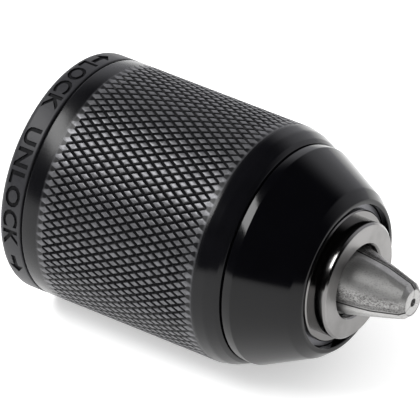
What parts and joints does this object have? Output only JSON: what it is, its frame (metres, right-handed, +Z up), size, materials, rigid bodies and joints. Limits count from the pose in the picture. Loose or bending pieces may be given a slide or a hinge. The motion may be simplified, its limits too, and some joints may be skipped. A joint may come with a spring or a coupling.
{
  "type": "drill chuck",
  "caption": "Keyless drill chuck with a knurled metal sleeve that opens and closes three angled steel jaws through a split nut.",
  "frame": {"origin": "centre of the threaded spindle socket's mouth, on the chuck body's rear face", "axes": "+X along the chuck's axis, from the socket to the jaws; +Z up, with the axis level"},
  "size_m": [0.0721, 0.043, 0.043],
  "materials": {
    "body_steel": "turned and ground, satin",
    "jaw_steel": "ground, hardened",
    "bearing_steel": "ground and hardened",
    "ball_steel": "polished",
    "cage_brass": "stamped",
    "spring_steel": "dark oiled spring steel",
    "nut_steel": "machined",
    "sleeve_steel": "machined, oiled",
    "black_sleeve": "black, gloss on the smooth bands and worn bright on the knurl",
    "black_cone": "gloss black",
    "black_ring": "satin black"
  },
  "bodies": {
    "body": {"chuck_body": "body_steel", "thrust_ring": "body_steel", "ratchet_race": "bearing_steel", "front_washer": "body_steel", "snap_ring": "spring_steel", "rear_ring": "black_ring"},
    "nut": {"nut_half_a": "nut_steel", "nut_half_b": "nut_steel", "nut_band": "nut_steel", "front_race": "bearing_steel", "pawl_ring": "spring_steel"},
    "sleeve": {"drive_sleeve": "sleeve_steel", "grip_sleeve": "black_sleeve", "front_cone": "black_cone"},
    "ball_set": {"ball_cage": "cage_brass", "bearing_balls": "ball_steel"},
    "jaw_a": {"jaw_1": "jaw_steel"},
    "jaw_b": {"jaw_2": "jaw_steel"},
    "jaw_c": {"jaw_3": "jaw_steel"}
  },
  "joints": [
    {"name": "sleeve_turn", "type": "hinge", "parent": "body", "child": "nut", "pos_m": [0.036, 0, 0], "axis": [1, 0, 0], "range_deg": [0, 4320]},
    {"name": "sleeve_lock", "type": "hinge", "parent": "nut", "child": "sleeve", "pos_m": [0.036, 0, 0], "axis": [1, 0, 0], "range_deg": [-18, 0]},
    {"name": "ball_roll", "type": "hinge", "parent": "body", "child": "ball_set", "pos_m": [0.029, 0, 0], "axis": [1, 0, 0], "range_deg": [0, 2160]},
    {"name": "jaw_a_slide", "type": "slide", "parent": "body", "child": "jaw_a", "axis": [-0.9636, 0.2527, 0.087], "range_m": [0, 0.0216]},
    {"name": "jaw_b_slide", "type": "slide", "parent": "body", "child": "jaw_b", "axis": [-0.9636, -0.2017, 0.1753], "range_m": [0, 0.0216]},
    {"name": "jaw_c_slide", "type": "slide", "parent": "body", "child": "jaw_c", "axis": [-0.9636, -0.051, -0.2623], "range_m": [0, 0.0216]}
  ],
  "couplings": [
    {"joint": "ball_roll", "follows": "sleeve_turn", "ratio": 0.5},
    {"joint": "jaw_a_slide", "follows": "sleeve_turn", "m_per_rad": 0.00028648},
    {"joint": "jaw_b_slide", "follows": "sleeve_turn", "m_per_rad": 0.00028648},
    {"joint": "jaw_c_slide", "follows": "sleeve_turn", "m_per_rad": 0.00028648}
  ]
}
